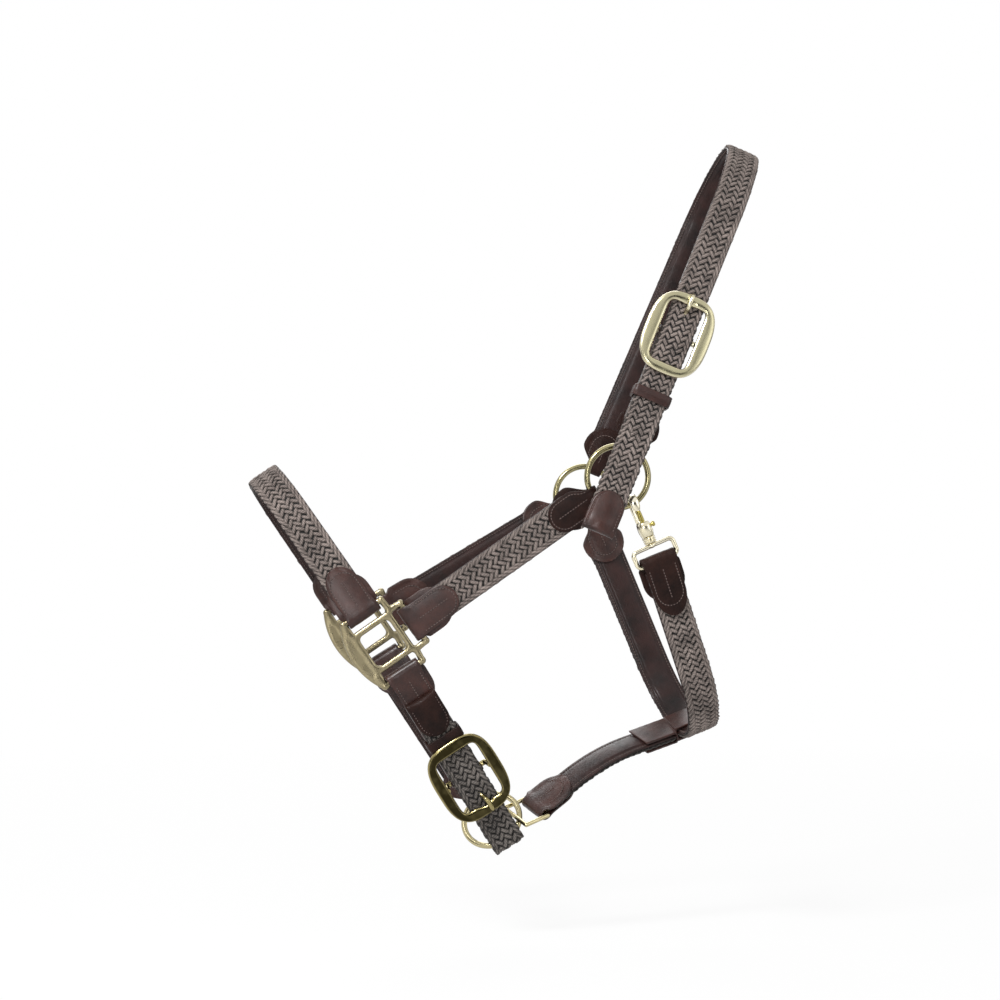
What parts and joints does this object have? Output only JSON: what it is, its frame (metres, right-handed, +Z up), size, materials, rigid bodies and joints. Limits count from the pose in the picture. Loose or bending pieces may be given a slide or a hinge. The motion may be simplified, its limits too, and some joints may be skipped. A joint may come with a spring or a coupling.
{
  "type": "headcollar",
  "caption": "Leather and plaited-cord headcollar in its worn shape, with brass cheek fittings, rings, buckles and a bolt snap at the throatlash.",
  "frame": {"origin": "underside of the headpiece lining at the poll, where the headcollar rests on the head", "axes": "+X towards the back of the head, +Y towards the far side, +Z up, with the nose towards -X"},
  "size_m": [0.3682, 0.1719, 0.5112],
  "materials": {
    "plait": "plaited taupe cord",
    "chin_plait": "plaited dark cord",
    "lining": "padded, semi-gloss",
    "leather": "stitched, semi-gloss",
    "brass": "polished pale brass",
    "snap_brass": "polished, palest",
    "aged_brass": "polished, darker"
  },
  "bodies": {
    "harness": {"near_cheek_fitting": "brass", "far_cheek_fitting": "brass", "noseband_plait": "plait", "noseband_lining": "lining", "noseband_near_chape": "leather", "noseband_far_chape": "leather", "near_cheek_plait": "plait", "near_cheek_lining": "lining", "near_cheek_lower_chape": "leather", "near_cheek_upper_chape": "leather", "far_cheek_plait": "plait", "far_cheek_lining": "lining", "far_cheek_lower_chape": "leather", "far_cheek_upper_chape": "leather", "headpiece_plait": "plait", "headpiece_lining": "lining", "headpiece_far_chape": "leather", "headpiece_cap": "leather", "poll_buckle_frame": "brass", "poll_buckle_chape": "leather", "poll_buckle_strap": "plait", "poll_buckle_lining": "lining", "poll_ring_chape": "leather", "snap_loop": "snap_brass", "throat_plait": "plait", "throat_lining": "lining", "throat_near_chape": "leather", "throat_far_chape": "leather", "chin_fitting_chape": "leather", "chin_buckle_strap": "leather", "chin_buckle_chape": "leather", "chin_buckle_frame": "aged_brass", "chin_keeper": "leather", "chin_plait": "chin_plait", "chin_cap": "leather", "far_chin_plait": "plait", "far_chin_lining": "lining", "far_chin_fitting_chape": "leather", "far_chin_ring_chape": "leather", "jowl_link": "brass", "jowl_plait": "plait", "jowl_lining": "lining", "jowl_link_chape": "leather", "jowl_throat_loop": "leather"},
    "near_ring": {"near_ring": "brass"},
    "far_ring": {"far_ring": "brass"},
    "chin_ring": {"chin_ring": "brass"},
    "poll_tongue": {"poll_buckle_tongue": "brass"},
    "chin_tongue": {"chin_buckle_tongue": "aged_brass"},
    "keeper": {"poll_keeper": "leather"},
    "snap": {"snap_hook": "snap_brass", "snap_spring": "snap_brass"},
    "bolt": {"snap_bolt": "snap_brass"}
  },
  "joints": [
    {"name": "near_ring_turn", "type": "hinge", "parent": "harness", "child": "near_ring", "pos_m": [-0.10124, -0.07498, -0.23159], "axis": [0, 1, 0], "continuous": true},
    {"name": "far_ring_turn", "type": "hinge", "parent": "harness", "child": "far_ring", "pos_m": [-0.10077, 0.07495, -0.24424], "axis": [0, 1, 0], "continuous": true},
    {"name": "chin_ring_turn", "type": "hinge", "parent": "harness", "child": "chin_ring", "pos_m": [-0.18052, -0.00524, -0.47635], "axis": [0.3641, 0.766, -0.5297], "continuous": true},
    {"name": "poll_tongue_lift", "type": "hinge", "parent": "harness", "child": "poll_tongue", "pos_m": [-0.05906, -0.06542, -0.13329], "axis": [0.9199, -0.0349, -0.3905], "range_deg": [0, 35]},
    {"name": "chin_tongue_lift", "type": "hinge", "parent": "harness", "child": "chin_tongue", "pos_m": [-0.2025, -0.03195, -0.44083], "axis": [-0.8434, 0, -0.5373], "range_deg": [0, 35]},
    {"name": "keeper_slide", "type": "slide", "parent": "harness", "child": "keeper", "axis": [0.3919, 0.1112, 0.9133], "range_m": [-0.003, 0.011]},
    {"name": "snap_swivel", "type": "hinge", "parent": "harness", "child": "snap", "pos_m": [-0.09016, -0.07498, -0.25002], "axis": [0.4067, 0, -0.9135], "range_deg": [-6, 6]},
    {"name": "bolt_slide", "type": "slide", "parent": "snap", "child": "bolt", "axis": [0.4067, 0, -0.9135], "range_m": [0, 0.005], "stiffness_N_per_m": 300, "springref_m": -0.003, "deforming": ["snap_spring"]}
  ]
}
